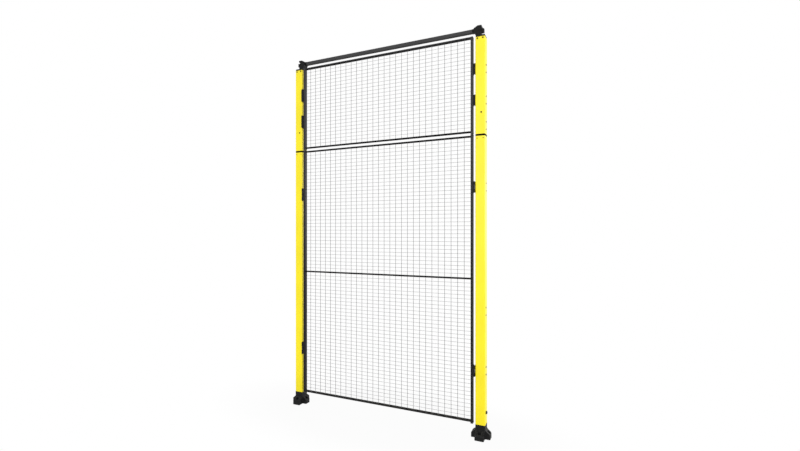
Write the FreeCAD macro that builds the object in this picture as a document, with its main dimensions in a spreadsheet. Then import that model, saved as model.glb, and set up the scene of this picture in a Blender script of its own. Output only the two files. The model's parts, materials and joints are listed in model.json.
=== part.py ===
# Mesh guard door: a framed mesh leaf hinged between two posts, under a fixed mesh transom and a top rail.
# Millimetres, +Z up. The front is towards -Y and the hinge post stands on the origin, at the right.
import FreeCAD, Part
import os
import Sketcher
from FreeCAD import Vector

document = FreeCAD.newDocument("MeshGuardDoor")

# Driving dimensions
DIMENSIONS = (
    # Posts
    ("post_width", 70),
    ("post_wall", 3),
    ("post_corner", 4),
    ("joiner_thickness", 14),
    ("joiner_drop", 5),
    ("post_drop", 6),
    ("spigot_length", 45),
    ("spigot_wall", 5),
    ("spigot_play", 0.2),
    # Hole pairs in the side walls of the posts
    ("pair_spacing", 55),
    ("pair_hole_diameter", 9),
    ("lock_pair_height", 822),
    ("access_hole_height", 85),
    ("access_hole_diameter", 14),
    # Feet
    ("foot_height", 100),
    ("foot_shoulder", 64),
    ("lobe_reach", 75),
    ("lobe_width", 68),
    ("side_lobe_reach", 71),
    ("side_lobe_width", 54),
    ("lobe_edge", 28),
    ("lobe_tip_round", 7),
    ("lobe_root_round", 6),
    ("lobe_brow_inset", 16),
    ("lobe_brow_height", 47),
    ("lobe_nose_inset", 4),
    ("lobe_nose_height", 38),
    ("foot_bolt_circle", 112),
    ("foot_bolt_hole", 11),
    ("foot_bolt_seat", 20),
    ("foot_bolt_seat_height", 24),
    # Panel frames
    ("panel_width", 1500),
    ("side_gap", 18),
    ("panel_proud", 6),
    ("panel_lift", 13),
    ("leaf_height", 2091),
    ("panel_split", 25),
    ("transom_height", 696),
    ("frame_depth", 30),
    ("stile_face", 16),
    ("stile_overrun", 9),
    ("rail_face", 8),
    ("frame_wall", 1.5),
    # Mesh
    ("wire", 2.5),
    ("mesh_pitch_across", 51),
    ("mesh_pitch_up", 29.5),
    # Hinges, catches and clips
    ("hinge_height", 80),
    ("catch_height", 105),
    ("fitting_plate", 4),
    ("fitting_plate_back", 15),
    ("stile_plate_inset", 2),
    ("leaf_fitting_inset", 376),
    ("transom_fitting_inset", 234),
    ("hinge_clip_setback", 8),
    ("middle_knuckle", 27),
    ("knuckle_play", 0.5),
    ("barrel_diameter", 14),
    ("pin_diameter", 8),
    ("pin_play", 0.05),
    ("swing_clearance", 5),
    # Top brackets and rail
    ("cap_thickness", 13),
    ("cap_width", 66),
    ("cap_spigot", 40),
    ("crown_height", 88),
    ("crown_depth", 50),
    ("crown_outer", 6),
    ("crown_inner", 22),
    ("hook_thickness", 13),
    ("notch_inner", 6),
    ("neck_outer", 3),
    ("web_foot", 30),
    ("slope_foot", 50),
    ("stub_reach", 22),
    ("stub_drop", 6.5),
    ("arm_size", 27),
    ("arm_end", 64),
    ("rail_size", 25),
    ("rail_wall", 2),
    ("rail_rise", 59.5),
    ("rail_spigot", 30),
    ("rail_play", 0.2),
)

# Places worked out from the driving dimensions
PLACES = (
    ("half_post", "Dimensions.post_width / 2"),
    ("post_bore", "Dimensions.post_width - 2 * Dimensions.post_wall"),
    ("post_spacing", "Dimensions.panel_width + 2 * Dimensions.side_gap + Dimensions.post_width"),
    ("spigot_width", "post_bore - 2 * Dimensions.spigot_play"),
    ("spigot_bore", "spigot_width - 2 * Dimensions.spigot_wall"),
    ("panel_front", "-half_post - Dimensions.panel_proud"),
    ("frame_middle", "panel_front + Dimensions.frame_depth / 2"),
    ("panel_right", "-half_post - Dimensions.side_gap"),
    ("panel_left", "panel_right - Dimensions.panel_width"),
    ("clear_width", "Dimensions.panel_width - 2 * Dimensions.stile_face"),
    ("leaf_bottom", "Dimensions.foot_height + Dimensions.panel_lift"),
    ("leaf_top", "leaf_bottom + Dimensions.leaf_height"),
    ("leaf_middle", "(leaf_bottom + leaf_top) / 2"),
    ("leaf_field", "Dimensions.leaf_height / 2 - 1.5 * Dimensions.rail_face"),
    ("transom_bottom", "leaf_top + Dimensions.panel_split"),
    ("transom_top", "transom_bottom + Dimensions.transom_height"),
    ("transom_field", "Dimensions.transom_height - 2 * Dimensions.rail_face"),
    ("lower_post_top", "leaf_top - Dimensions.joiner_drop"),
    ("lower_post_length", "lower_post_top - Dimensions.foot_height"),
    ("upper_post_bottom", "lower_post_top + Dimensions.joiner_thickness"),
    ("post_top", "transom_top - Dimensions.post_drop"),
    ("upper_post_length", "post_top - upper_post_bottom"),
    ("columns", "round(clear_width / Dimensions.mesh_pitch_across)"),
    ("column_pitch", "clear_width / columns"),
    ("half_gap", "Dimensions.side_gap / 2"),
    ("hinge_axis", "panel_right + half_gap"),
    ("catch_axis", "panel_left - half_gap"),
    ("half_knuckle", "Dimensions.middle_knuckle / 2"),
    ("swing_reach", "Dimensions.barrel_diameter / 2 + Dimensions.swing_clearance"),
    ("screw_line", "Dimensions.panel_proud + half_post"),
    ("post_plate_depth", "screw_line + Dimensions.fitting_plate_back"),
    ("stile_plate_depth", "Dimensions.frame_depth - Dimensions.stile_plate_inset - swing_reach"),
    ("catch_block", "Dimensions.side_gap - Dimensions.swing_clearance"),
    ("nose_block", "catch_block - Dimensions.fitting_plate"),
    ("lower_fitting", "leaf_bottom + Dimensions.leaf_fitting_inset"),
    ("upper_fitting", "leaf_top - Dimensions.leaf_fitting_inset"),
    ("lower_clip", "transom_bottom + Dimensions.transom_fitting_inset"),
    ("upper_clip", "transom_top - Dimensions.transom_fitting_inset"),
    ("rail_axis", "post_top + Dimensions.rail_rise"),
    ("rail_length", "post_spacing - 2 * Dimensions.arm_end"),
    ("rail_spigot_size", "Dimensions.rail_size - 2 * Dimensions.rail_wall - 2 * Dimensions.rail_play"),
    ("arm_bottom", "Dimensions.rail_rise - Dimensions.arm_size / 2"),
    ("arm_top", "Dimensions.rail_rise + Dimensions.arm_size / 2"),
    ("stub_rise", "Dimensions.rail_rise - Dimensions.stub_drop"),
)


def make_sheet(name, rows):
    """A spreadsheet with one labelled, aliased cell for each row."""
    sheet = document.addObject("Spreadsheet::Sheet", name)
    for row, (alias, content) in enumerate(rows, start=1):
        sheet.set(f"A{row}", alias.replace("_", " "))
        sheet.setAlias(f"B{row}", alias)
        sheet.set(f"B{row}", content)
    document.recompute()
    return sheet


make_sheet("Dimensions", [(alias, str(number)) for alias, number in DIMENSIONS])
places = make_sheet("Places", [(alias, f"={formula}") for alias, formula in PLACES])
sub_parts = []


def value(expression):
    """The number that an expression on the sheets gives."""
    return float(places.evalExpression(expression))


def bind(thing, **expressions):
    """Bind properties of an object to expressions on the sheets."""
    for name, expression in expressions.items():
        thing.setExpression(name.replace("__", "."), expression)


def place(thing, x="0", y="0", z="0"):
    """Bind the place of a sub-part."""
    bind(thing, Placement__Base__x=x, Placement__Base__y=y, Placement__Base__z=z)


def sub_part(label):
    """A new body that becomes one file."""
    body = document.addObject("PartDesign::Body", label)
    body.Label = label
    sub_parts.append(body)
    return body


def origin_feature(body, role):
    return next(feature for feature in body.Origin.OriginFeatures if feature.Role == role)


def sketch_on(body, plane):
    """An empty sketch on one of the body's own origin planes."""
    sketch = body.newObject("Sketcher::SketchObject", "Outline")
    sketch.AttachmentSupport = (origin_feature(body, plane), [""])
    sketch.MapMode = "FlatFace"
    return sketch


def fix_point(sketch, geometry, vertex, across, up):
    """Hold one sketch point at two bound distances from the sketch's origin."""
    for kind, expression in (("DistanceX", across), ("DistanceY", up)):
        constraint = Sketcher.Constraint(kind, -1, 1, geometry, vertex, value(expression))
        index = sketch.addConstraint(constraint)
        sketch.setExpression(f"Constraints[{index}]", expression)


def add_polygon(sketch, points):
    """A closed outline whose corners are pairs of expressions."""
    corners = [Vector(value(across), value(up), 0) for across, up in points]
    first = sketch.GeometryCount
    count = len(corners)
    for index in range(count):
        sketch.addGeometry(Part.LineSegment(corners[index], corners[(index + 1) % count]))
    for index in range(count):
        following = first + (index + 1) % count
        sketch.addConstraint(Sketcher.Constraint("Coincident", first + index, 2, following, 1))
    for index, (across, up) in enumerate(points):
        fix_point(sketch, first + index, 1, across, up)


def add_rectangle(sketch, width, height):
    """A rectangle centred on the sketch's origin."""
    add_polygon(sketch, [
        (f"-({width}) / 2", f"-({height}) / 2"),
        (f"({width}) / 2", f"-({height}) / 2"),
        (f"({width}) / 2", f"({height}) / 2"),
        (f"-({width}) / 2", f"({height}) / 2"),
    ])


def add_circle(sketch, across, up, diameter):
    """A circle with its centre and diameter bound."""
    centre = Vector(value(across), value(up), 0)
    index = sketch.addGeometry(Part.Circle(centre, Vector(0, 0, 1), value(diameter) / 2))
    fix_point(sketch, index, 3, across, up)
    size = sketch.addConstraint(Sketcher.Constraint("Diameter", index, value(diameter)))
    sketch.setExpression(f"Constraints[{size}]", diameter)


def pad(body, sketch, length, symmetric=False):
    feature = body.newObject("PartDesign::Pad", "Pad")
    feature.Profile = sketch
    feature.SideType = "Symmetric" if symmetric else "One side"
    bind(feature, Length=length)
    return feature


def pocket(body, sketch, length=None):
    """A cut both ways from its sketch, through everything unless a length is given."""
    feature = body.newObject("PartDesign::Pocket", "Pocket")
    feature.Profile = sketch
    feature.SideType = "Symmetric"
    if length is None:
        feature.Type = "ThroughAll"
    else:
        bind(feature, Length=length)
    return feature


def additive_box(body, length, width, height, x, y, z):
    """A box added to a body, by its sizes and its lowest corner."""
    box = body.newObject("PartDesign::AdditiveBox", "Box")
    bind(box, Length=length, Width=width, Height=height)
    place(box, x, y, z)
    return box


def subtractive_box(body, length, width, height, x, y, z):
    """A box cut from a body, by its sizes and its lowest corner."""
    box = body.newObject("PartDesign::SubtractiveBox", "Cut")
    bind(box, Length=length, Width=width, Height=height)
    place(box, x, y, z)
    return box


def upright_cylinder(body, kind, diameter, height, x, y, z):
    """A cylinder along Z added to or cut from a body, by the middle of its lower end."""
    cylinder = body.newObject(f"PartDesign::{kind}Cylinder", "Barrel")
    bind(cylinder, Radius=f"({diameter}) / 2", Height=height)
    place(cylinder, x, y, z)
    return cylinder


def round_upright_edges(body, feature, far, near, radius):
    """Round the upright edges that stand at the two given distances from the middle planes."""
    document.recompute()
    wanted = sorted((value(far), value(near)))
    names = []
    for index, edge in enumerate(feature.Shape.Edges, start=1):
        lower, upper = (vertex.Point for vertex in edge.Vertexes)
        upright = abs(lower.x - upper.x) + abs(lower.y - upper.y) < 1e-6
        found = sorted((abs(lower.x), abs(lower.y)))
        if upright and all(abs(a - b) < 1e-6 for a, b in zip(found, wanted)):
            names.append(f"Edge{index}")
    rounded = body.newObject("PartDesign::Fillet", "Rounding")
    rounded.Base = (feature, names)
    bind(rounded, Radius=radius)
    return rounded


# Posts
def add_pairs(sketch, heights, bottom):
    """Two holes, one above the other, about each height."""
    for height in heights:
        for side in (-1, 1):
            up = f"{height} - ({bottom}) + {side} * Dimensions.pair_spacing / 2"
            add_circle(sketch, "0", up, "Dimensions.pair_hole_diameter")


def make_post(label, x, bottom, length, outward, outer_pairs, through_pair=None):
    """A square tube with hole pairs in its outer wall; the one with the pair through both has an access hole."""
    body = sub_part(label)
    section = sketch_on(body, "XY_Plane")
    add_rectangle(section, "Dimensions.post_width", "Dimensions.post_width")
    add_rectangle(section, "Places.post_bore", "Places.post_bore")
    tube = pad(body, section, length)
    round_upright_edges(body, tube, "Places.half_post", "Places.half_post", "Dimensions.post_corner")
    outer_holes = sketch_on(body, "YZ_Plane")
    add_pairs(outer_holes, outer_pairs, bottom)
    if through_pair:
        add_circle(outer_holes, "0", "Dimensions.access_hole_height", "Dimensions.access_hole_diameter")
    cut = body.newObject("PartDesign::Pocket", "OuterHoles")
    cut.Profile = outer_holes
    cut.Type = "ThroughAll"
    cut.Reversed = outward > 0
    if through_pair:
        through_holes = sketch_on(body, "YZ_Plane")
        add_pairs(through_holes, [through_pair], bottom)
        pocket(body, through_holes)
    place(body, x, "0", bottom)


def make_joiner(label, x):
    """A flange between the two post tubes, with a spigot into each."""
    body = sub_part(label)
    outline = sketch_on(body, "XY_Plane")
    add_rectangle(outline, "Dimensions.post_width", "Dimensions.post_width")
    flange = pad(body, outline, "Dimensions.joiner_thickness", symmetric=True)
    round_upright_edges(body, flange, "Places.half_post", "Places.half_post", "Dimensions.post_corner")
    spigot = sketch_on(body, "XY_Plane")
    add_rectangle(spigot, "Places.spigot_width", "Places.spigot_width")
    pad(body, spigot, "Dimensions.joiner_thickness + 2 * Dimensions.spigot_length", symmetric=True)
    bore = sketch_on(body, "XY_Plane")
    add_rectangle(bore, "Places.spigot_bore", "Places.spigot_bore")
    pocket(body, bore)
    place(body, x, "0", "Places.lower_post_top + Dimensions.joiner_thickness / 2")


def make_foot(label, x):
    """A foot casting: a cross of four sloping lobes round a collar, with a spigot up into the post."""
    body = sub_part(label)
    reach = "Dimensions.lobe_reach"
    half = "(Dimensions.lobe_width / 2)"
    side_reach = "Dimensions.side_lobe_reach"
    side_half = "(Dimensions.side_lobe_width / 2)"
    cross = sketch_on(body, "XY_Plane")
    add_polygon(cross, [
        (side_reach, f"-{side_half}"), (side_reach, side_half), (half, side_half), (half, reach),
        (f"-{half}", reach), (f"-{half}", side_half), (f"-{side_reach}", side_half),
        (f"-{side_reach}", f"-{side_half}"), (f"-{half}", f"-{side_half}"), (f"-{half}", f"-{reach}"),
        (half, f"-{reach}"), (half, f"-{side_half}"),
    ])
    lobes = pad(body, cross, "Dimensions.foot_shoulder")
    lobes = round_upright_edges(body, lobes, reach, half, "Dimensions.lobe_tip_round")
    lobes = round_upright_edges(body, lobes, side_reach, side_half, "Dimensions.lobe_tip_round")
    round_upright_edges(body, lobes, half, side_half, "Dimensions.lobe_root_round")
    above = "(Dimensions.foot_shoulder + 1)"
    for plane, tip in (("XZ_Plane", side_reach), ("YZ_Plane", reach)):
        slopes = sketch_on(body, plane)
        for way in (-1, 1):
            add_polygon(slopes, [
                (f"{way} * Places.half_post", above),
                (f"{way} * Places.half_post", "Dimensions.foot_shoulder"),
                (f"{way} * ({tip} - Dimensions.lobe_brow_inset)", "Dimensions.lobe_brow_height"),
                (f"{way} * ({tip} - Dimensions.lobe_nose_inset)", "Dimensions.lobe_nose_height"),
                (f"{way} * {tip}", "Dimensions.lobe_edge"),
                (f"{way} * ({tip} + 1)", "Dimensions.lobe_edge"),
                (f"{way} * ({tip} + 1)", above),
            ])
        pocket(body, slopes)
    outline = sketch_on(body, "XY_Plane")
    add_rectangle(outline, "Dimensions.post_width", "Dimensions.post_width")
    pad(body, outline, "Dimensions.foot_height")
    spigot = sketch_on(body, "XY_Plane")
    add_rectangle(spigot, "Places.spigot_width", "Places.spigot_width")
    pad(body, spigot, "Dimensions.foot_height + Dimensions.spigot_length")
    subtractive_box(body, "Places.spigot_bore", "Places.spigot_bore", "Dimensions.spigot_length",
                    "-Places.spigot_bore / 2", "-Places.spigot_bore / 2", "Dimensions.foot_height")
    for across, along in ((1, 0), (0, 1), (-1, 0), (0, -1)):
        hole_x = f"{across} * Dimensions.foot_bolt_circle / 2"
        hole_y = f"{along} * Dimensions.foot_bolt_circle / 2"
        upright_cylinder(body, "Subtractive", "Dimensions.foot_bolt_hole", "Dimensions.foot_height",
                         hole_x, hole_y, "0")
        subtractive_box(body, "Dimensions.foot_bolt_seat", "Dimensions.foot_bolt_seat", "Dimensions.foot_height",
                        f"{hole_x} - Dimensions.foot_bolt_seat / 2", f"{hole_y} - Dimensions.foot_bolt_seat / 2",
                        "Dimensions.foot_bolt_seat_height")
    place(body, x)


def make_bracket(label, x, inward):
    """A cap with a hooked crown on a neck, an outer stub, and an arm with a spigot for the rail."""
    body = sub_part(label)
    spigot = sketch_on(body, "XY_Plane")
    add_rectangle(spigot, "Places.spigot_width", "Places.spigot_width")
    add_rectangle(spigot, "Places.spigot_bore", "Places.spigot_bore")
    pad(body, spigot, "Dimensions.cap_spigot").Reversed = True
    cap = sketch_on(body, "XY_Plane")
    add_rectangle(cap, "Dimensions.cap_width", "Dimensions.cap_width")
    pad(body, cap, "Dimensions.cap_thickness")
    outer = -inward
    crown = sketch_on(body, "XZ_Plane")
    add_polygon(crown, [
        (f"{outer} * Dimensions.neck_outer", "Dimensions.cap_thickness / 2"),
        (f"{outer} * Dimensions.neck_outer", "Places.arm_bottom - Dimensions.stub_drop"),
        (f"{inward} * Dimensions.notch_inner", "Places.arm_top - Dimensions.stub_drop"),
        (f"{outer} * Dimensions.crown_outer", "Dimensions.crown_height - Dimensions.hook_thickness"),
        (f"{outer} * Dimensions.crown_outer", "Dimensions.crown_height"),
        (f"{inward} * Dimensions.crown_inner", "Dimensions.crown_height"),
        (f"{inward} * Dimensions.slope_foot", "Places.arm_top"),
        (f"{inward} * Dimensions.slope_foot", "Places.arm_bottom"),
        (f"{inward} * Dimensions.web_foot", "Dimensions.cap_thickness / 2"),
    ])
    pad(body, crown, "Dimensions.crown_depth", symmetric=True)
    for size, rise, reach, way in (
        ("Dimensions.arm_size", "Places.stub_rise", "Dimensions.stub_reach", outer),
        ("Dimensions.arm_size", "Dimensions.rail_rise", "Dimensions.arm_end", inward),
        ("Places.rail_spigot_size", "Dimensions.rail_rise", "Dimensions.arm_end + Dimensions.rail_spigot", inward),
    ):
        section = sketch_on(body, "YZ_Plane")
        half = f"({size}) / 2"
        add_polygon(section, [
            (f"{side} * {half}", f"{rise} + {level} * {half}")
            for side, level in ((-1, -1), (1, -1), (1, 1), (-1, 1))
        ])
        pad(body, section, reach).Reversed = way < 0
    place(body, x, "0", "Places.post_top")


# Tubes of the panel frames and the top rail
def make_stile(label, left, bottom, height):
    """An upright tube of a panel frame, by its left face and its lower end."""
    body = sub_part(label)
    section = sketch_on(body, "XY_Plane")
    add_rectangle(section, "Dimensions.stile_face", "Dimensions.frame_depth")
    add_rectangle(section, "Dimensions.stile_face - 2 * Dimensions.frame_wall",
                  "Dimensions.frame_depth - 2 * Dimensions.frame_wall")
    pad(body, section, height)
    place(body, f"{left} + Dimensions.stile_face / 2", "Places.frame_middle", bottom)


def make_cross_tube(label, left, length, y, z, depth, height, wall):
    """A level tube along X, by its left end and the middle of its section."""
    body = sub_part(label)
    section = sketch_on(body, "YZ_Plane")
    add_rectangle(section, depth, height)
    add_rectangle(section, f"{depth} - 2 * {wall}", f"{height} - 2 * {wall}")
    pad(body, section, length)
    place(body, left, y, z)


def make_panel_rail(label, z):
    """A level tube of a panel frame, between its two stiles."""
    make_cross_tube(label, "Places.panel_left + Dimensions.stile_face", "Places.clear_width",
                    "Places.frame_middle", z, "Dimensions.frame_depth", "Dimensions.rail_face",
                    "Dimensions.frame_wall")


# Mesh: cross wires welded on the back of upright wires
def repeat(body, feature, axis, spacing, copies):
    """Copies of a feature along one of the body's own axes."""
    row = body.newObject("PartDesign::LinearPattern", "Row")
    row.Originals = [feature]
    row.Direction = (origin_feature(body, axis), [""])
    row.Mode = "Spacing"
    bind(row, Offset=spacing, Occurrences=copies)
    body.Tip = row


def make_mesh(label, bottom, height):
    """The wires of one field of mesh, from the rail below to the rail above."""
    rows = f"round({height} / Dimensions.mesh_pitch_up)"
    uprights = sub_part(f"{label}_upright_wires")
    wire = additive_box(uprights, "Dimensions.wire", "Dimensions.wire", height,
                        "-Dimensions.wire / 2", "-Dimensions.wire", "0")
    repeat(uprights, wire, "X_Axis", "Places.column_pitch", "Places.columns - 1")
    place(uprights, "Places.panel_left + Dimensions.stile_face + Places.column_pitch",
          "Places.frame_middle", bottom)
    crosses = sub_part(f"{label}_cross_wires")
    wire = additive_box(crosses, "Places.clear_width", "Dimensions.wire", "Dimensions.wire",
                        "0", "0", "-Dimensions.wire / 2")
    repeat(crosses, wire, "Z_Axis", f"{height} / {rows}", f"{rows} - 1")
    place(crosses, "Places.panel_left + Dimensions.stile_face", "Places.frame_middle",
          f"{bottom} + {height} / {rows}")


# Hinges, catches and clips, each in the gap between a post and a stile
def post_plate(body, left, height):
    """A plate on the inner face of a post, by its left face."""
    additive_box(body, "Dimensions.fitting_plate", "Places.post_plate_depth", height, left, "0", f"-{height} / 2")


def outer_knuckles(body, diameter, x, height, notch):
    """The knuckles above and below the middle one."""
    length = f"{height} / 2 - ({notch})"
    upright_cylinder(body, "Additive", diameter, length, x, "0", notch)
    upright_cylinder(body, "Additive", diameter, length, x, "0", f"-{height} / 2")


def make_hinge_post_half(label, z):
    """Two knuckles on a post plate notched between them, with the hinge pin through them."""
    body = sub_part(label)
    height = "Dimensions.hinge_height"
    notch = "Places.half_knuckle + Dimensions.knuckle_play"
    left = "Places.half_gap - Dimensions.fitting_plate"
    post_plate(body, left, height)
    subtractive_box(body, "Dimensions.fitting_plate", "Places.swing_reach", f"2 * ({notch})",
                    left, "0", f"-({notch})")
    outer_knuckles(body, "Dimensions.barrel_diameter", "0", height, notch)
    upright_cylinder(body, "Additive", "Dimensions.pin_diameter", height, "0", "0", f"-{height} / 2")
    place(body, "Places.hinge_axis", "Places.panel_front", z)


def make_hinge_leaf_half(label, z):
    """A plate on the outer face of the hinge stile, with the middle knuckle bored for the pin."""
    body = sub_part(label)
    additive_box(body, "Dimensions.fitting_plate", "Places.stile_plate_depth", "Dimensions.hinge_height",
                 "-Places.half_gap", "Places.swing_reach", "-Dimensions.hinge_height / 2")
    additive_box(body, "Dimensions.fitting_plate", "Places.swing_reach", "Dimensions.middle_knuckle",
                 "-Places.half_gap", "0", "-Places.half_knuckle")
    upright_cylinder(body, "Additive", "Dimensions.barrel_diameter", "Dimensions.middle_knuckle",
                     "0", "0", "-Places.half_knuckle")
    upright_cylinder(body, "Subtractive", "Dimensions.pin_diameter + 2 * Dimensions.pin_play",
                     "Dimensions.middle_knuckle", "0", "0", "-Places.half_knuckle")
    place(body, "Places.hinge_axis", "Places.panel_front", z)


def make_catch_jaws(label, z):
    """Two rounded jaws on a post plate, open to the front for the nose on the leaf."""
    body = sub_part(label)
    height = "Dimensions.catch_height"
    notch = "Places.half_knuckle + Dimensions.swing_clearance"
    post_plate(body, "-Places.half_gap", height)
    outer_knuckles(body, "Places.catch_block", "-Places.half_gap + Places.catch_block / 2", height, notch)
    place(body, "Places.catch_axis", "Places.panel_front", z)


def make_catch_nose(label, z):
    """A rounded nose on the closing stile, which enters between the jaws."""
    body = sub_part(label)
    additive_box(body, "Dimensions.fitting_plate", "Dimensions.frame_depth - Dimensions.stile_plate_inset",
                 "Dimensions.middle_knuckle", "Places.half_gap - Dimensions.fitting_plate", "0",
                 "-Places.half_knuckle")
    upright_cylinder(body, "Additive", "Places.nose_block", "Dimensions.middle_knuckle",
                     "Places.half_gap - Places.nose_block / 2", "0", "-Places.half_knuckle")
    place(body, "Places.catch_axis", "Places.panel_front", z)


def make_clips(label, x, post_side, front, height):
    """Two fixed clips that hold the transom to one post, each bridging the gap."""
    body = sub_part(label)
    section = sketch_on(body, "XY_Plane")
    near = "Places.half_gap"
    inner = "Places.half_gap - Dimensions.fitting_plate"
    stile_reach = "Dimensions.frame_depth - Dimensions.stile_plate_inset"
    add_polygon(section, [
        (f"{post_side} * ({near})", front),
        (f"{post_side} * ({near})", "Places.post_plate_depth"),
        (f"{post_side} * ({inner})", "Places.post_plate_depth"),
        (f"{post_side} * ({inner})", "Places.swing_reach"),
        (f"{-post_side} * ({inner})", "Places.swing_reach"),
        (f"{-post_side} * ({inner})", stile_reach),
        (f"{-post_side} * ({near})", stile_reach),
        (f"{-post_side} * ({near})", front),
    ])
    clip = pad(body, section, height, symmetric=True)
    repeat(body, clip, "Z_Axis", "Places.upper_clip - Places.lower_clip", "2")
    place(body, x, "Places.panel_front", "Places.lower_clip")


# Posts, from the floor up
RIGHT = "0"
LEFT = "-Places.post_spacing"
LOCK_PAIR = "(Dimensions.foot_height + Dimensions.lock_pair_height)"
for name, post_x, outward in (("hinge_post", RIGHT, 1), ("closing_post", LEFT, -1)):
    make_foot(f"{name}_foot", post_x)
    make_post(f"{name}_lower_tube", post_x, "Dimensions.foot_height", "Places.lower_post_length", outward,
              ["Places.lower_fitting", "Places.upper_fitting"], LOCK_PAIR)
    make_joiner(f"{name}_joiner", post_x)
    make_post(f"{name}_upper_tube", post_x, "Places.upper_post_bottom", "Places.upper_post_length", outward,
              ["Places.lower_clip", "Places.upper_clip"])
    make_bracket(f"{name}_bracket", post_x, -outward)
make_cross_tube("top_rail", "Dimensions.arm_end - Places.post_spacing", "Places.rail_length", "0",
                "Places.rail_axis", "Dimensions.rail_size", "Dimensions.rail_size", "Dimensions.rail_wall")

# Panels
for name, bottom, height, overruns in (
    ("leaf", "Places.leaf_bottom", "Dimensions.leaf_height", 2),
    ("transom", "Places.transom_bottom", "Dimensions.transom_height", 1),
):
    stile_bottom = f"{bottom} - Dimensions.stile_overrun"
    stile_length = f"{height} + {overruns} * Dimensions.stile_overrun"
    make_stile(f"{name}_hinge_stile", "Places.panel_right - Dimensions.stile_face", stile_bottom, stile_length)
    make_stile(f"{name}_closing_stile", "Places.panel_left", stile_bottom, stile_length)
    make_panel_rail(f"{name}_bottom_rail", f"{bottom} + Dimensions.rail_face / 2")
    make_panel_rail(f"{name}_top_rail", f"{bottom} + {height} - Dimensions.rail_face / 2")
make_panel_rail("leaf_middle_rail", "Places.leaf_middle")
make_mesh("leaf_lower_mesh", "Places.leaf_bottom + Dimensions.rail_face", "Places.leaf_field")
make_mesh("leaf_upper_mesh", "Places.leaf_middle + Dimensions.rail_face / 2", "Places.leaf_field")
make_mesh("transom_mesh", "Places.transom_bottom + Dimensions.rail_face", "Places.transom_field")

# Fittings
for name in ("lower", "upper"):
    level = f"Places.{name}_fitting"
    make_hinge_post_half(f"{name}_hinge_post_half", level)
    make_hinge_leaf_half(f"{name}_hinge_leaf_half", level)
    make_catch_jaws(f"{name}_catch_jaws", level)
    make_catch_nose(f"{name}_catch_nose", level)
make_clips("transom_hinge_side_clips", "Places.hinge_axis", 1, "Dimensions.hinge_clip_setback",
           "Dimensions.hinge_height")
make_clips("transom_closing_side_clips", "Places.catch_axis", -1, "-Places.catch_block / 2",
           "Dimensions.catch_height")

document.recompute()
for thing in document.Objects:
    if "Invalid" in thing.State or "Error" in thing.State:
        raise RuntimeError(f"{thing.Label} failed: {thing.State}")
os.makedirs("parts", exist_ok=True)
for thing in sub_parts:
    if thing.Shape.isNull() or not thing.Shape.isValid():
        raise RuntimeError(f"{thing.Label} has no valid shape")
    thing.Shape.exportStep(f"parts/{thing.Label}.step")
    print(thing.Label, len(thing.Shape.Solids), round(thing.Shape.Volume), thing.Shape.BoundBox)
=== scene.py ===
"""Looks of a mesh guard door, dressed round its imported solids. Metres, +Z up, the front towards -Y."""
import json
import math

import bmesh
import bpy
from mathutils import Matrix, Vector


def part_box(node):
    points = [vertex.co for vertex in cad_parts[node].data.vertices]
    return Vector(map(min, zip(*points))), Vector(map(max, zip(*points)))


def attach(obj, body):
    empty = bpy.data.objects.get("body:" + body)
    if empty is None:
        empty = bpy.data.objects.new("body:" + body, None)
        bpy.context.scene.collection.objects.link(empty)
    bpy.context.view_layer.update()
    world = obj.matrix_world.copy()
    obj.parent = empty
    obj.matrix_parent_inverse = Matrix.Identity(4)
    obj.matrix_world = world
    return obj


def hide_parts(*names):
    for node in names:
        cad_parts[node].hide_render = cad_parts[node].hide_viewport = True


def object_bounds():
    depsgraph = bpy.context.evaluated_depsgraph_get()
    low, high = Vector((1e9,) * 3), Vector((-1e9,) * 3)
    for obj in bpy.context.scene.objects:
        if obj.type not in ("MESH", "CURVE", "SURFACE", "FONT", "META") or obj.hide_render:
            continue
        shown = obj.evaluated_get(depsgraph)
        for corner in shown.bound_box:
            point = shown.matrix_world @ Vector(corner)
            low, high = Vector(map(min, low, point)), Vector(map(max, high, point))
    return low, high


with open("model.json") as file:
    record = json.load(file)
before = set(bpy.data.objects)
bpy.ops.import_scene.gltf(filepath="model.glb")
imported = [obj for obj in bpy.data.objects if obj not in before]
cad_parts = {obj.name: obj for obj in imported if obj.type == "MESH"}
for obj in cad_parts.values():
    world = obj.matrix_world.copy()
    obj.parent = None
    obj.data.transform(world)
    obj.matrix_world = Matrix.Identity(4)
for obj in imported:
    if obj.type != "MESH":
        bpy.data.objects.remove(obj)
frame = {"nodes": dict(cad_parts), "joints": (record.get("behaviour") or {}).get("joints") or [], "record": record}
CAD_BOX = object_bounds()

bl_info = {
    "name": "Mesh guard door",
    "version": (1, 0, 0),
    "blender": (4, 5, 0),
    "location": "3D View > Sidebar > Guard door",
    "description": "Dresses the solids of a mesh guard door with finishes, wires, welds and fasteners",
    "category": "Object",
}

# Directions, and each post with the way along X that leads out of the doorway
FRONT = (0, -1, 0)
BACK = (0, 1, 0)
UP = (0, 0, 1)
DOWN = (0, 0, -1)
POSTS = (("hinge_post", 1), ("closing_post", -1))

# Nodes with a duller coat than others of their slot
MATT_COATS = {
    "leaf_bottom_rail": "level_grey",
    "leaf_middle_rail": "level_grey",
    "leaf_top_rail": "level_grey",
    "transom_bottom_rail": "level_grey",
    "transom_top_rail": "level_grey",
    "hinge_post_joiner": "joiner_black",
    "closing_post_joiner": "joiner_black",
}

# Heights from which the coats of the stiles and rails are painted paler, and at which they are palest: painted
# light, standing for more light at the top of the frame
STILE_TOP_LIGHT_START = 1.0
RAIL_TOP_LIGHT_START = 2.4
TOP_LIGHT_END = 3.0

# Tones that show on worn coats
PALE_DUST = (0.42, 0.4, 0.36)
DARK_DUST = (0.2, 0.19, 0.17)
BARE_METAL = (0.22, 0.22, 0.23)
BRIGHT_RIM = (0.3, 0.29, 0.28)

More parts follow.
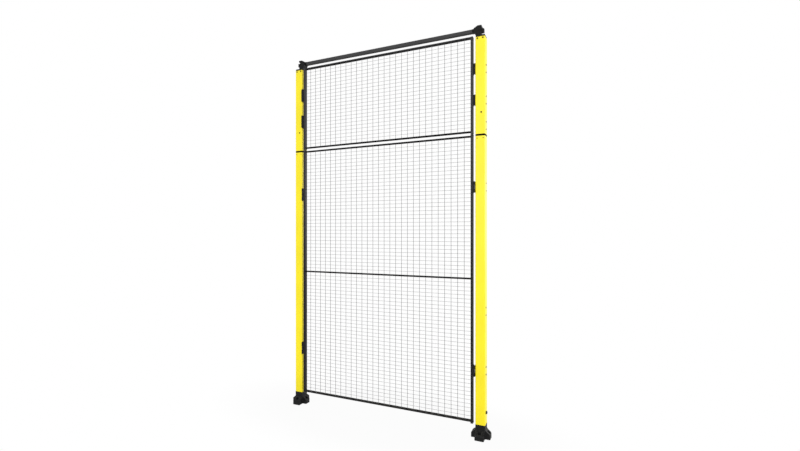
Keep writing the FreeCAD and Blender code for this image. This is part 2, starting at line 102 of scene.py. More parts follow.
# Edges of the drawn solids
RAIL_CORNER = 0.001
CAP_CORNER = 0.0014
LEAST_CORNER = 0.0004
SHARP_EDGE = math.radians(38)

# Weld nuggets where wires cross, and where they meet a rail or a stile, as shares of their diameter
CROSSING_NUGGET = (1.0, 0.7, 0.8)
RAIL_NUGGET = (1.4, 1.4, 0.7)
STILE_NUGGET = (0.7, 1.1, 1.1)

# Thickness of the fitting plates, and half the height of screw pairs, hinge fittings and catch fittings
FITTING_PLATE = 0.004
PAIR_HALF = 0.0275
HINGE_HALF = 0.04
CATCH_HALF = 0.0525

# Fasteners of the posts: aside from the axis, below the top of a tube or above its foot
TOP_SCREW_ASIDE = 0.020
TOP_SCREW_DROP = 0.010
JOINER_SCREW_ASIDE = 0.022
JOINER_SCREW_DROP = 0.016
FACE_SCREW_ASIDE = 0.008
FACE_SCREW_RISE = 0.157
SIDE_SCREW_RISES = (0.036, 0.091)
PLUG_PAIR_RISE = 0.822
CLAMP_BOLT_RISE = 0.085

# Screws of the fittings: in from the back of a piece, or in depth from the middle of the posts
LEAF_HALF_SCREW_INSET = 0.008
NOSE_SCREW_INSET = 0.009
CLIP_SCREW_DEPTH = -0.021

# Bolts of the brackets: from the axis towards the doorway, in depth, and below the rail's middle
PIVOT_BOLT_ASIDE = 0.008
PIVOT_BOLT_DEPTH = 0.025
PIVOT_BOLT_DROP = 0.002
RAIL_SCREW_ASIDE = 0.057
RAIL_SCREW_DEPTH = 0.0135

# Floor anchors: radius of their circle and height of their seats
ANCHOR_RADIUS = 0.056
ANCHOR_SEAT = 0.024

# Stage: place and width of each lamp, the floor's reach and its share of white in an oval round the feet
WHITE = (1, 1, 1, 1)
LAMPS = {
    "key": ((0.9, -6.0, 2.7), 3.5),
    "fill": ((4.6, 0.8, 3.0), 3.0),
    "back": ((3.6, 4.8, 2.2), 2.2),
}
FLOOR_REACH = 60.0
FLOOR_WHITE = 0.95
SHADOW_SCALE = (0.62, 1.5, 0)
SHADOW_SHIFT = (0.5, 0, 0)
SHADOW_INNER = 0.55
SHADOW_OUTER = 1.15

# Camera: width of the sensor in millimetres and the furthest sight in metres
SENSOR_WIDTH = 36.0
FAR_CLIP = 200.0


# Settings that a user may change
def length(name, description, default):
    """A length in metres."""
    return bpy.props.FloatProperty(name=name, description=description, default=default, min=0.0,
                                   precision=4, unit="LENGTH")


def colour(name, description, default):
    """A linear colour."""
    return bpy.props.FloatVectorProperty(name=name, description=description, default=default, size=3,
                                         min=0.0, max=1.0, subtype="COLOR")


def number(name, description, default):
    """A plain factor."""
    return bpy.props.FloatProperty(name=name, description=description, default=default, min=0.0)


class GuardDoorSizes(bpy.types.PropertyGroup):
    """Sizes of the pieces that dress the door."""
    upright_wire: length("Upright wire", "Diameter of the upright wires of the mesh", 0.003)
    cross_wire: length("Cross wire", "Diameter of the cross wires of the mesh", 0.0019)
    nugget: length("Weld nugget", "Diameter of the weld where two wires cross", 0.0032)
    middle_rail: length("Middle rail", "Height of the middle rail of the leaf", 0.0105)
    bead: length("Weld bead", "Width of the bead where a rail meets a stile", 0.0042)
    bead_step: length("Bead step", "Distance between the ripples of a bead", 0.0016)
    post_screw: length("Post screw", "Head diameter of the screws in the post faces", 0.0125)
    joiner_screw: length("Joiner screw", "Head diameter of the screws under the joiners", 0.007)
    hole_plug: length("Hole plug", "Diameter of the plugs in the spare holes of the posts", 0.0135)
    clamp_bolt: length("Clamp bolt", "Width across the flats of the bolts that clamp the posts", 0.018)
    plate_screw: length("Plate screw", "Head diameter of the screws in the fitting plates", 0.0095)
    pivot_bolt: length("Pivot bolt", "Head diameter of the bolts through the top brackets", 0.013)
    anchor_head: length("Anchor head", "Width across the flats of the floor anchors", 0.015)
    pin_cap: length("Pin cap", "Diameter of the caps on the hinge pins", 0.0115)
    cap_skirt: length("Cap skirt", "Height of the caps pushed on the ends of the stiles", 0.0088)
    cap_wall: length("Cap wall", "Wall of the caps pushed on the ends of the stiles", 0.001)


class GuardDoorColours(bpy.types.PropertyGroup):
    """Colours of the finishes."""
    post_yellow: colour("Post yellow", "Powder coat of the posts", (0.93, 0.775, 0.004))
    frame_grey: colour("Frame grey", "Powder coat of the stiles of the panels", (0.01, 0.01, 0.0104))
    level_grey: colour("Level tube grey", "Matt coat of the rails of the panels", (0.012, 0.012, 0.0124))
    # Painted light: the frames turn to this paler grey towards the top, standing for more light from above
    lit_top_grey: colour("Toplit grey", "Tone of the panel frames at the top", (0.04, 0.04, 0.041))
    rail_grey: colour("Rail grey", "Powder coat of the top rail", (0.058, 0.058, 0.059))
    wire_grey: colour("Wire grey", "Powder coat of the mesh", (0.1, 0.1, 0.103))
    casting_black: colour("Casting black", "Textured coat of the feet and brackets", (0.0048, 0.005, 0.005))
    joiner_black: colour("Joiner black", "Matt coat of the joiners of the posts", (0.004, 0.004, 0.004))
    fitting_black: colour("Fitting black", "Satin coat of hinges, catches and clips", (0.004, 0.004, 0.004))
    plug_black: colour("Plug black", "Moulded plastic of plugs and end caps", (0.004, 0.004, 0.004))
    screw_black: colour("Screw black", "Blackened steel of the fasteners", (0.012, 0.0115, 0.011))
    floor: colour("Floor", "Pale floor", (0.4, 0.4, 0.4))


class GuardDoorLight(bpy.types.PropertyGroup):
    """Light and camera of the stage."""
    sky: number("Sky", "Strength of the even light from all sides", 0.9)
    key: number("Key", "Power of the large lamp at the front, in watts", 194.0)
    fill: number("Fill", "Power of the large lamp at the right, in watts", 90.0)
    back: number("Back", "Power of the large lamp at the back, in watts", 120.0)
    lens: number("Lens", "Focal length for a 36 mm wide sensor, in millimetres", 19.18)
    rise: number("Rise", "Upward shift of the lens, as a share of the picture's width", 0.00895)
    camera_place: bpy.props.FloatVectorProperty(
        name="Camera place", description="Where the camera stands", default=(0.722, -3.095, 1.4956), size=3,
        subtype="TRANSLATION")
    camera_turn: bpy.props.FloatProperty(
        name="Camera turn", description="Turn to the left of the view along +Y", default=math.radians(23.92),
        subtype="ANGLE")


# Node trees
SHADER_INPUTS = {"metallic": "Metallic", "specular_ior_level": "Specular IOR Level"}


def feed(tree, socket, term):
    """Link a socket or a signal to a socket, or set its value."""
    if isinstance(term, Signal):
        term = term.socket
    if isinstance(term, bpy.types.NodeSocket):
        tree.links.new(term, socket)
    else:
        socket.default_value = term


def add_node(tree, kind, settings=None, values=None):
    """A node of a kind, with its settings made first and then its sockets fed by name or index."""
    node = tree.nodes.new(kind)
    for name, setting in (settings or {}).items():
        setattr(node, name, setting)
    for name, term in (values or {}).items():
        feed(tree, node.inputs[name], term)
    return node


class Signal:
    """A number in a tree, on which Python's operators add Math nodes."""

    def __init__(self, tree, socket):
        self.tree = tree
        self.socket = socket

    def combine(self, operation, first, second):
        node = add_node(self.tree, "ShaderNodeMath", {"operation": operation}, {0: first, 1: second})
        return Signal(self.tree, node.outputs[0])

    def __add__(self, other):
        return self.combine("ADD", self, other)

    def __radd__(self, other):
        return self.combine("ADD", other, self)

    def __sub__(self, other):
        return self.combine("SUBTRACT", self, other)

    def __rsub__(self, other):
        return self.combine("SUBTRACT", other, self)

    def __mul__(self, other):
        return self.combine("MULTIPLY", self, other)

    def __rmul__(self, other):
        return self.combine("MULTIPLY", other, self)


class Finish:
    """A material with one Principled shader, built on object coordinates."""

    def __init__(self, name, **constants):
        self.material = bpy.data.materials.new(name)
        self.material.use_nodes = True
        self.tree = self.material.node_tree
        self.tree.nodes.clear()
        self.shader = self.add("ShaderNodeBsdfPrincipled")
        self.output = self.add("ShaderNodeOutputMaterial", None, {"Surface": self.shader.outputs["BSDF"]})
        self.place = self.add("ShaderNodeTexCoord").outputs["Object"]
        for key, value in constants.items():
            self.shader.inputs[SHADER_INPUTS[key]].default_value = value

    def add(self, kind, settings=None, values=None):
        return add_node(self.tree, kind, settings, values)

    def noise(self, size, detail, stretch=None):
        """Cloudy noise with features of about the given size in metres."""
        place = self.place
        if stretch:
            place = self.add("ShaderNodeMapping", None, {"Vector": place, "Scale": stretch}).outputs[0]
        node = self.add("ShaderNodeTexNoise", None, {"Vector": place, "Scale": 1 / size, "Detail": detail})
        return Signal(self.tree, node.outputs[0])

    def ramp(self, signal, low, high):
        """0 below low and 1 above high, with a smooth step between."""
        node = self.add("ShaderNodeMapRange", {"interpolation_type": "SMOOTHSTEP"},
                        {"Value": signal, "From Min": low, "From Max": high})
        return Signal(self.tree, node.outputs[0])

    def blend(self, first, second, factor):
        """A colour between two colours."""
        values = {0: factor, 6: opaque(first), 7: opaque(second)}
        return self.add("ShaderNodeMix", {"data_type": "RGBA"}, values).outputs[2]

    def edges(self, width):
        """A rounded normal, and a mask of the edges that it rounds."""
        rounded = self.add("ShaderNodeBevel", {"samples": 6}, {"Radius": width}).outputs[0]
        flat = self.add("ShaderNodeNewGeometry").outputs["True Normal"]
        dot = self.add("ShaderNodeVectorMath", {"operation": "DOT_PRODUCT"}, {0: rounded, 1: flat})
        return rounded, self.ramp(1 - Signal(self.tree, dot.outputs["Value"]), 0.01, 0.12)

    def upward(self, vector):
        """The part of a vector along +Z."""
        return Signal(self.tree, self.add("ShaderNodeSeparateXYZ", None, {0: vector}).outputs[2])

    def level(self):
        """1 on faces that look straight up, 0 on upright faces."""
        return self.ramp(self.upward(self.add("ShaderNodeNewGeometry").outputs["Normal"]), 0.5, 0.9)

    def height(self):
        """Metres above the floor."""
        return self.upward(self.place)

    def bump(self, height, depth, normal):
        """A normal that follows a height of the given depth in metres."""
        values = {"Height": height, "Distance": depth, "Strength": 1.0, "Normal": normal}
        return self.add("ShaderNodeBump", None, values).outputs[0]

    def wear(self, base, roughness, normal):
        """Feed the three sockets that change over the surface."""
        for name, term in (("Base Color", base), ("Roughness", roughness), ("Normal", normal)):
            feed(self.tree, self.shader.inputs[name], term)
        return self.material


def opaque(shade):
    """A colour with its fourth channel, or a socket as it is."""
    return shade if isinstance(shade, bpy.types.NodeSocket) else (*shade, 1.0)


def scaled(shade, factor):
    """A colour made darker or lighter."""
    return tuple(min(1.0, part * factor) for part in shade)


# Finishes
def powder_coat(name, shade, roughness, grain, depth, chip_shade, chip_share=0.5, gloss=0.5, top_light_start=None):
    """A baked powder coat: orange peel with painted shade in its hollows, rubbed streaks, thin edges, dust, a dull
    foot and a top painted paler as painted light.
    """
    finish = Finish(name, specular_ior_level=gloss)
    peel = finish.noise(grain, 2.0)
    drift = finish.noise(0.3, 3.0)
    speck = finish.noise(0.0012, 3.0)
    rounded, edge = finish.edges(0.0012)
    peel_shade = finish.ramp(peel, 0.5, 0.72)
    streaks = finish.ramp(finish.noise(0.005, 3.0, (1.0, 1.0, 0.06)), 0.56, 0.74)
    chips = finish.ramp(edge * 0.6 + finish.noise(0.006, 4.0), 0.72, 1.0) * chip_share
    dust = finish.level() * finish.ramp(finish.noise(0.03, 4.0), 0.35, 0.75) * 0.12
    splash = (1 - finish.ramp(finish.height() + finish.noise(0.05, 4.0) * 0.3, 0.2, 0.55)) * 0.35
    tone = finish.blend(scaled(shade, 0.94), scaled(shade, 1.04), finish.ramp(drift, 0.3, 0.7))
    # Painted light: on the frames the coat turns paler towards the top, as if lit more from above
    if top_light_start is not None:
        top_light = tuple(bpy.context.scene.guard_door_colours.lit_top_grey)
        tone = finish.blend(tone, top_light, finish.ramp(finish.height(), top_light_start, TOP_LIGHT_END))
    tone = finish.blend(tone, scaled(shade, 0.8), finish.ramp(speck, 0.6, 0.8) * 0.3)
    # Painted shade: the hollows of the orange peel are painted darker
    tone = finish.blend(tone, scaled(shade, 0.86), peel_shade * 0.45)
    tone = finish.blend(tone, scaled(shade, 0.84), streaks * 0.3)
    tone = finish.blend(tone, chip_shade, chips)
    tone = finish.blend(tone, scaled(shade, 0.8), splash * finish.ramp(speck, 0.4, 0.7))
    tone = finish.blend(tone, PALE_DUST, dust)
    sheen = roughness + (speck - 0.5) * 0.16 + streaks * 0.12 + chips * 0.15 + splash * 0.3 + dust
    return finish.wear(tone, sheen, finish.bump(peel, depth, rounded))


def cast_coat(name, shade, roughness, grain, depth, gloss):
    """A coarse textured black on castings, paler on rubbed edges: wear and a painted edge highlight."""
    finish = Finish(name, specular_ior_level=gloss)
    pits = finish.noise(grain, 4.0)
    swell = finish.noise(0.02, 2.0)
    rounded, edge = finish.edges(0.0025)
    rub = edge * finish.ramp(finish.noise(0.008, 3.0), 0.4, 0.65)
    dust = finish.level() * finish.ramp(finish.noise(0.02, 4.0), 0.4, 0.75)
    tone = finish.blend(scaled(shade, 0.75), scaled(shade, 1.5), finish.ramp(pits, 0.35, 0.7))
    # Rubbed edges painted paler: partly wear, partly a painted edge highlight
    tone = finish.blend(tone, scaled(shade, 5.0), rub * 0.55)
    tone = finish.blend(tone, DARK_DUST, dust * 0.1)
    sheen = roughness + (pits - 0.5) * 0.3 - rub * 0.15 + dust * 0.1
    return finish.wear(tone, sheen, finish.bump(pits + swell * 2.0, depth, rounded))


def satin_coat(name, shade, roughness, gloss):
    """A smooth satin black, rubbed to bare metal in small spots on its edges."""
    finish = Finish(name, specular_ior_level=gloss)
    grain = finish.noise(0.0009, 3.0)
    rounded, edge = finish.edges(0.0009)
    rub = finish.ramp(edge * 0.7 + finish.noise(0.004, 4.0), 0.8, 1.1)
    scuff = finish.ramp(finish.noise(0.003, 3.0, (1.0, 1.0, 0.12)), 0.58, 0.72)
    tone = finish.blend(shade, scaled(shade, 2.2), scuff * 0.5)
    tone = finish.blend(tone, BARE_METAL, rub * 0.6)
    sheen = roughness + (grain - 0.5) * 0.2 - rub * 0.12 + scuff * 0.08
    return finish.wear(tone, sheen, finish.bump(grain, 0.00006, rounded))


def blackened_steel(name, shade, roughness):
    """Blackened fasteners: oily dark steel with brighter rims."""
    finish = Finish(name, metallic=0.85)
    cloud = finish.noise(0.003, 3.0)
    scratch = finish.noise(0.0015, 2.0, (1.0, 1.0, 0.15))
    rounded, edge = finish.edges(0.0005)
    tone = finish.blend(scaled(shade, 0.7), scaled(shade, 2.0), finish.ramp(cloud, 0.35, 0.7))
    tone = finish.blend(tone, BRIGHT_RIM, edge * 0.35)
    sheen = roughness + (scratch - 0.5) * 0.25 + cloud * 0.08
    return finish.wear(tone, sheen, finish.bump(scratch, 0.00003, rounded))


def moulded_plastic(name, shade, roughness):
    """Black moulded plastic with a fine spark-eroded grain and a painted highlight on every edge."""
    finish = Finish(name)
    grain = finish.noise(0.0007, 2.0)
    flow = finish.noise(0.015, 3.0)
    rounded, edge = finish.edges(0.0006)
    tone = finish.blend(shade, scaled(shade, 1.8), finish.ramp(flow, 0.35, 0.7))
    # Painted highlight: every edge is painted lighter
    tone = finish.blend(tone, scaled(shade, 4.0), edge * 0.3)
    sheen = roughness + (grain - 0.5) * 0.25
    return finish.wear(tone, sheen, finish.bump(grain, 0.00005, rounded))


# Each finish by the name of its colour, with its maker and the maker's settings
FINISHES = {
    "post_yellow": (powder_coat, {
        "roughness": 0.42, "grain": 0.0026, "depth": 0.0001, "chip_shade": (0.62, 0.5, 0.06)}),
    "frame_grey": (powder_coat, {
        "roughness": 0.36, "grain": 0.0016, "depth": 0.00006, "chip_shade": (0.08, 0.08, 0.085),
        "gloss": 0.11, "top_light_start": STILE_TOP_LIGHT_START}),
    "level_grey": (powder_coat, {
        "roughness": 0.5, "grain": 0.0016, "depth": 0.00006, "chip_shade": (0.08, 0.08, 0.085),
        "gloss": 0.0, "top_light_start": RAIL_TOP_LIGHT_START}),
    "rail_grey": (powder_coat, {
        "roughness": 0.42, "grain": 0.0016, "depth": 0.00006, "chip_shade": (0.16, 0.16, 0.165),
        "gloss": 0.02}),
    "wire_grey": (powder_coat, {
        "roughness": 0.45, "grain": 0.0016, "depth": 0.00004, "chip_shade": (0.3, 0.3, 0.305),
        "chip_share": 0.4, "gloss": 0.3}),
    "casting_black": (cast_coat, {"roughness": 0.55, "grain": 0.0018, "depth": 0.00025, "gloss": 0.16}),
    "joiner_black": (cast_coat, {"roughness": 0.55, "grain": 0.0018, "depth": 0.00025, "gloss": 0.0}),
    "fitting_black": (satin_coat, {"roughness": 0.4, "gloss": 0.18}),
    "screw_black": (blackened_steel, {"roughness": 0.34}),
    "plug_black": (moulded_plastic, {"roughness": 0.5}),
}


def finishes():
    """All finishes by name, made once."""
    colours = bpy.context.scene.guard_door_colours
    ready = {}
    for name, (maker, settings) in FINISHES.items():
        title = f"guard_door_{name}"
        ready[name] = bpy.data.materials.get(title) or maker(title, tuple(getattr(colours, name)), **settings)
    return ready


# Geometry trees and meshes
class Builder:
    """A Geometry Nodes tree with named inputs, turned into plain mesh pieces."""

    def __init__(self, name, inputs):
        self.tree = bpy.data.node_groups.new(name, "GeometryNodeTree")
        interface = self.tree.interface
        interface.new_socket("Geometry", in_out="INPUT", socket_type="NodeSocketGeometry")
        interface.new_socket("Geometry", in_out="OUTPUT", socket_type="NodeSocketGeometry")
        for label, kind in (*inputs.items(), ("Material", "Material")):
            interface.new_socket(label, in_out="INPUT", socket_type=f"NodeSocket{kind}")
        self.given = self.add("NodeGroupInput").outputs

    def add(self, kind, settings=None, values=None):
        return add_node(self.tree, kind, settings, values)

    def make(self, kind, settings=None, values=None):
        """The first output of a new node."""
        return self.add(kind, settings, values).outputs[0]

    def signal(self, label):
        """A number among the inputs."""
        return Signal(self.tree, self.given[label])

    def vector(self, x=0.0, y=0.0, z=0.0):
        return self.make("ShaderNodeCombineXYZ", None, {0: x, 1: y, 2: z})

    def points(self, count, start, step):
        """Points on a straight line."""
        return self.make("GeometryNodeMeshLine", None, {
            "Count": count, "Start Location": start, "Offset": step})

    def copies(self, points, instance, values=None):
        """An instance on every point."""
        return self.make("GeometryNodeInstanceOnPoints", None, {
            "Points": points, "Instance": instance, **(values or {})})

    def close(self, *geometries):
        """Join, realize and give the material, as the tree's result."""
        join = self.add("GeometryNodeJoinGeometry")
        for geometry in reversed(geometries):
            self.tree.links.new(geometry, join.inputs[0])
        real = self.make("GeometryNodeRealizeInstances", None, {0: join.outputs[0]})
        result = self.make("GeometryNodeSetMaterial", None, {
            "Geometry": real, "Material": self.given["Material"]})
        self.add("NodeGroupOutput", None, {0: result})

    def piece(self, name, material, values, start=None):
        """A plain mesh object from the tree with the given input values."""
        thing = new_object(name, start or bpy.data.meshes.new(name))
        modifier = thing.modifiers.new("Rule", "NODES")
        modifier.node_group = self.tree
        values = {**values, "Material": material}
        for item in self.tree.interface.items_tree:
            if item.in_out == "INPUT" and item.name in values:
                modifier[item.identifier] = values[item.name]
        graph = bpy.context.evaluated_depsgraph_get()
        result = bpy.data.meshes.new_from_object(thing.evaluated_get(graph), depsgraph=graph)
        thing.modifiers.clear()
        thing.data = result
        result.name = name
        return thing


def new_object(name, data):
    """An object in the scene."""
    thing = bpy.data.objects.new(name, data)
    bpy.context.scene.collection.objects.link(thing)
    return thing


def finish_piece(thing, body, replaced=()):
    """Hand a piece to its body, and hide the solids that it replaces."""
    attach(thing, body)
    if replaced:
        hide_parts(*replaced)


def skin(work, loops):
    """Close a solid through loops of as many points each."""
    count = len(loops[0])
    for lower, upper in zip(loops, loops[1:]):
        for index in range(count):
            following = (index + 1) % count
            work.faces.new((lower[index], lower[following], upper[following], upper[index]))
    work.faces.new(tuple(reversed(loops[0])))
    work.faces.new(tuple(loops[-1]))


def solid_mesh(name, work):
    """A mesh from closed solids, with its faces outwards and its sharp edges kept."""
    bmesh.ops.recalc_face_normals(work, faces=work.faces)
    for face in work.faces:
        face.smooth = True
    mesh = bpy.data.meshes.new(name)
    work.to_mesh(mesh)
    work.free()
    mesh.set_sharp_from_angle(angle=SHARP_EDGE)
    return mesh


def ring_solid(name, rings, segments=24):
    """A closed solid from rings of (radius, height, sides), where six sides give a hexagon by its flats."""
    work = bmesh.new()
    loops = []
    for radius, height, sides in rings:
        loop = []
        for index in range(segments):
            turn = 2 * math.pi * index / segments
            reach = radius
            if sides:
                half = math.pi / sides
                reach = radius / math.cos(turn % (2 * half) - half)
            loop.append(work.verts.new((reach * math.cos(turn), reach * math.sin(turn), height)))
        loops.append(loop)
    skin(work, loops)
    return solid_mesh(name, work)


def rounded_corners(left, front, right, back, radius, steps=4):
    """Points round a rectangle whose corners are arcs."""
    points = []
    for x, y, start in ((right - radius, back - radius, 0), (left + radius, back - radius, 90),
                        (left + radius, front + radius, 180), (right - radius, front + radius, 270)):
        for step in range(steps + 1):
            turn = math.radians(start + 90 * step / steps)
            points.append((x + radius * math.cos(turn), y + radius * math.sin(turn)))
    return points


def socket_head(name):
    """A domed screw head, one across, with a hexagon socket."""
    return ring_solid(name, (
        (0.49, -0.08, 0), (0.5, 0.02, 0), (0.49, 0.1, 0), (0.44, 0.2, 0), (0.35, 0.275, 0), (0.27, 0.3, 0),
        (0.2, 0.3, 6), (0.185, 0.28, 6), (0.185, 0.1, 6),
    ))


def hexagon_bolt(name):
    """A washer, and on it a hexagon head, one across the flats, with a chamfered crown."""
    return ring_solid(name, (
        (0.58, 0.0, 0), (0.6, 0.02, 0), (0.6, 0.1, 0), (0.58, 0.12, 0), (0.485, 0.12, 0), (0.5, 0.14, 6),
        (0.5, 0.44, 6), (0.49, 0.5, 0), (0.44, 0.52, 0), (0.4, 0.52, 0), (0.38, 0.5, 0),
    ))


def domed_cap(name):
    """A turned cap, one across, with a grooved foot."""
    return ring_solid(name, (
        (0.5, 0.0, 0), (0.5, 0.06, 0), (0.46, 0.075, 0), (0.46, 0.09, 0), (0.5, 0.105, 0), (0.47, 0.15, 0),
        (0.38, 0.185, 0), (0.22, 0.2, 0),
    ))


def fastener_builder():
    """Heads set on points, each looking along the point's facing and turned at random about it."""
    builder = Builder("Fasteners", {"Head": "Object", "Size": "Float", "Seed": "Int"})
    given = builder.given
    facing = builder.make("GeometryNodeInputNamedAttribute", {"data_type": "FLOAT_VECTOR"}, {
        "Name": "facing"})
    aim = builder.make("FunctionNodeAlignRotationToVector", {"axis": "Z"}, {"Vector": facing})
    turn = builder.add("FunctionNodeRandomValue", {"data_type": "FLOAT"},
                       {2: 0.0, 3: math.tau, "Seed": given["Seed"]}).outputs[1]
    twist = builder.make("FunctionNodeAxisAngleToRotation", None, {"Axis": UP, "Angle": turn})
    aim = builder.make("FunctionNodeRotateRotation", {"rotation_space": "LOCAL"}, {0: aim, 1: twist})
    head = builder.add("GeometryNodeObjectInfo", None, {"Object": given["Head"]}).outputs["Geometry"]
    size = builder.vector(given["Size"], given["Size"], given["Size"])
    builder.close(builder.copies(given["Geometry"], head, {"Rotation": aim, "Scale": size}))
    return builder


def fasten(name, head, size, spots, body, seed, coat="screw_black"):
    """Make one piece of like fasteners on a body, from spots of a place and a facing."""
    points = bpy.data.meshes.new(name)
    points.from_pydata([place for place, facing in spots], [], [])
    facings = points.attributes.new("facing", "FLOAT_VECTOR", "POINT")
    for index, (place, facing) in enumerate(spots):
        facings.data[index].vector = facing
    pattern = new_object(f"{name}_head", head)
    values = {"Head": pattern, "Size": size, "Seed": seed}
    thing = fastener_builder().piece(name, finishes()[coat], values, points)
    bpy.data.objects.remove(pattern)
    finish_piece(thing, body)


def middle(node):
    """The middle of a node's box."""
    low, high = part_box(node)
    return (low + high) / 2


# Operators
class GUARD_DOOR_OT_coats(bpy.types.Operator):
    """Give every solid of the frame and the leaf its finish"""
    bl_idname = "guard_door.coats"
    bl_label = "Coat the solids"

    def execute(self, context):
        ready = finishes()
        for row in frame["record"]["subparts"]:
            thing = frame["nodes"][row["node"]]
            if not thing.material_slots:
                thing.data.materials.append(None)
            for place in thing.material_slots:
                place.material = ready[MATT_COATS.get(row["node"], row["material_slot"])]
        return {"FINISHED"}


class GUARD_DOOR_OT_mesh(bpy.types.Operator):
    """Weave the welded mesh of the three fields from round wires, with a nugget at every weld"""
    bl_idname = "guard_door.mesh"
    bl_label = "Weave the mesh"

    def execute(self, context):
        sizes = context.scene.guard_door_sizes
        builder = self.wire_builder()
        fields = {"leaf_lower_mesh": "leaf", "leaf_upper_mesh": "leaf", "transom_mesh": "frame"}
        for field, body in fields.items():
            uprights = f"{field}_upright_wires"
            crosses = f"{field}_cross_wires"
            columns = self.wire_lines(uprights, 0)
            rows = self.wire_lines(crosses, 2)
            low = Vector((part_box(crosses)[0].x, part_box(uprights)[1].y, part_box(uprights)[0].z))
            high = Vector((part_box(crosses)[1].x, low.y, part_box(uprights)[1].z))
            thing = builder.piece(f"{field}_welded_wires", finishes()["wire_grey"], {
                "Upright wire": sizes.upright_wire, "Cross wire": sizes.cross_wire, "Nugget": sizes.nugget,
                "Corner": low, "Width": high.x - low.x, "Height": high.z - low.z,
                "First column": columns[0] - low.x, "First row": rows[0] - low.z,
                "Columns": len(columns), "Rows": len(rows), "Column pitch": columns[1] - columns[0],
                "Row pitch": rows[1] - rows[0],
            })
            finish_piece(thing, body, (uprights, crosses))
        return {"FINISHED"}

    def wire_lines(self, node, axis):
        """The middle of each wire of a node along an axis."""
        sides = sorted({round(vertex.co[axis], 5) for vertex in frame["nodes"][node].data.vertices})
        return [(first + second) / 2 for first, second in zip(sides[::2], sides[1::2])]

    def wire_builder(self):
        """Upright wires in front of cross wires, touching, with flattened nuggets where they meet."""
        builder = Builder("Welded mesh", {
            "Upright wire": "Float", "Cross wire": "Float", "Nugget": "Float", "Corner": "Vector",
            "Width": "Float", "Height": "Float", "First column": "Float", "First row": "Float",
            "Columns": "Int", "Rows": "Int", "Column pitch": "Float", "Row pitch": "Float",
        })
        given = builder.given
        upright_radius = builder.signal("Upright wire") * 0.5
        cross_radius = builder.signal("Cross wire") * 0.5

        # Rows of places, each with its count, its first place and its step
        columns = (given["Columns"], given["First column"], given["Column pitch"])
        rows = (given["Rows"], given["First row"], given["Row pitch"])
        stiles = (2, 0.0, given["Width"])
        rails = (2, 0.0, given["Height"])

        def across(places, y):
            count, first, step = places
            return builder.points(count, builder.vector(first, y), builder.vector(step))

        def upward(places, y):
            count, first, step = places
            return builder.points(count, builder.vector(0.0, y, first), builder.vector(z=step))

        def wires(radius, end, points):
            profile = builder.make("GeometryNodeCurvePrimitiveCircle", None, {
                "Resolution": 8, "Radius": radius})
            line = builder.make("GeometryNodeCurvePrimitiveLine", None, {"End": end})
            wire = builder.make("GeometryNodeCurveToMesh", None, {
                "Curve": line, "Profile Curve": profile, "Fill Caps": True})
            return builder.copies(points, wire)

        def nuggets(wide, high, y, scale):
            ball = builder.make("GeometryNodeMeshIcoSphere", None, {
                "Radius": builder.signal("Nugget") * 0.5, "Subdivisions": 1})
            ball = builder.make("GeometryNodeTransform", None, {"Geometry": ball, "Scale": scale})
            return builder.copies(across(wide, y), builder.copies(upward(high, 0.0), ball))

        def placed(part):
            part = builder.make("GeometryNodeTransform", None, {
                "Geometry": part, "Translation": given["Corner"]})
            part = builder.make("GeometryNodeRealizeInstances", None, {0: part})
            return builder.make("GeometryNodeSetShadeSmooth", None, {"Geometry": part})

        parts = (
            wires(upright_radius, builder.vector(z=given["Height"]), across(columns, 0 - upright_radius)),
            wires(cross_radius, builder.vector(given["Width"]), upward(rows, cross_radius)),
            nuggets(columns, rows, 0.0, CROSSING_NUGGET),
            nuggets(columns, rails, 0 - upright_radius, RAIL_NUGGET),
            nuggets(stiles, rows, cross_radius, STILE_NUGGET),
        )
        builder.close(*(placed(part) for part in parts))
        return builder


class GUARD_DOOR_OT_middle_rail(bpy.types.Operator):
    """Draw the middle rail of the leaf from stile to stile"""
    bl_idname = "guard_door.middle_rail"
    bl_label = "Draw the middle rail"

    def execute(self, context):
        node = "leaf_middle_rail"
        low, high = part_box(node)
        centre = middle(node).z
        half = context.scene.guard_door_sizes.middle_rail / 2
        outline = rounded_corners(low.y, centre - half, high.y, centre + half, RAIL_CORNER)
        work = bmesh.new()
        skin(work, [[work.verts.new((x, y, z)) for y, z in outline] for x in (low.x, high.x)])
        mesh = solid_mesh(f"{node}_tube", work)
        mesh.materials.append(finishes()["level_grey"])
        finish_piece(new_object(f"{node}_tube", mesh), "leaf", (node,))
        return {"FINISHED"}


